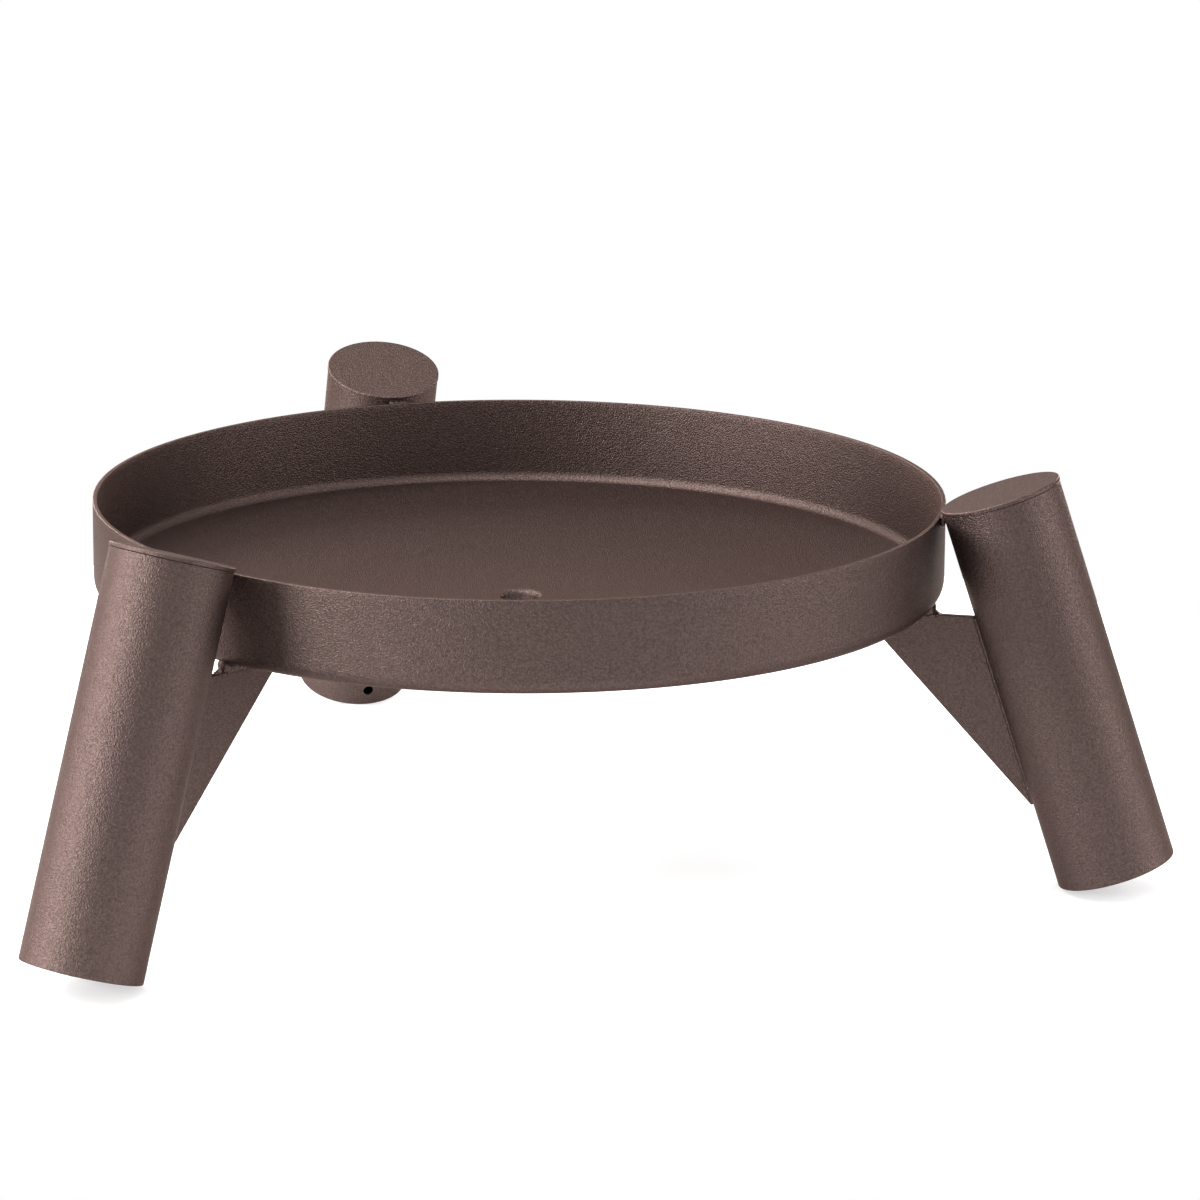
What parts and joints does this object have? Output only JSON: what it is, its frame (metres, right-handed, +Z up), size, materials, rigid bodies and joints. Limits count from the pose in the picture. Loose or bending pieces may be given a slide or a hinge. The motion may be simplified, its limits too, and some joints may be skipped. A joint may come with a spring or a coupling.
{
  "type": "fire pit",
  "caption": "Shallow round steel fire pit: dished pan with an upright rim and central drain hole, on splayed capped tube legs welded to the rim and braced by gusset plates.",
  "frame": {"origin": "ground level under the middle of the whole outline; the pan's own axis stands 84.2 mm in front of it, at y = -0.0842", "axes": "+Z up; one leg at the back (+Y), one at the front left and one at the front right (120 degrees apart about the pan's axis); +X to the right seen from the front"},
  "size_m": [0.823, 0.7684, 0.2928],
  "materials": {
    "pan_coat": "bronze-brown metallic fine-structure powder coat, semi-gloss",
    "leg_coat": "bronze-brown metallic fine-structure powder coat, semi-gloss",
    "cap_coat": "bronze-brown metallic fine-structure powder coat, semi-gloss",
    "gusset_coat": "bronze-brown metallic fine-structure powder coat, semi-gloss",
    "weld_coat": "weld bead under the same powder coat"
  },
  "bodies": {
    "root": {"pan": "pan_coat", "leg_tube_back": "leg_coat", "leg_tube_left": "leg_coat", "leg_tube_right": "leg_coat", "leg_top_cap_back": "cap_coat", "leg_top_cap_left": "cap_coat", "leg_top_cap_right": "cap_coat", "leg_foot_cap_back": "cap_coat", "leg_foot_cap_left": "cap_coat", "leg_foot_cap_right": "cap_coat", "gusset_back": "gusset_coat", "gusset_left": "gusset_coat", "gusset_right": "gusset_coat", "rim_weld_back": "weld_coat", "rim_weld_left": "weld_coat", "rim_weld_right": "weld_coat", "gusset_leg_weld_back": "weld_coat", "gusset_leg_weld_left": "weld_coat", "gusset_leg_weld_right": "weld_coat", "gusset_pan_weld_back": "weld_coat", "gusset_pan_weld_left": "weld_coat", "gusset_pan_weld_right": "weld_coat"}
  },
  "joints": []
}
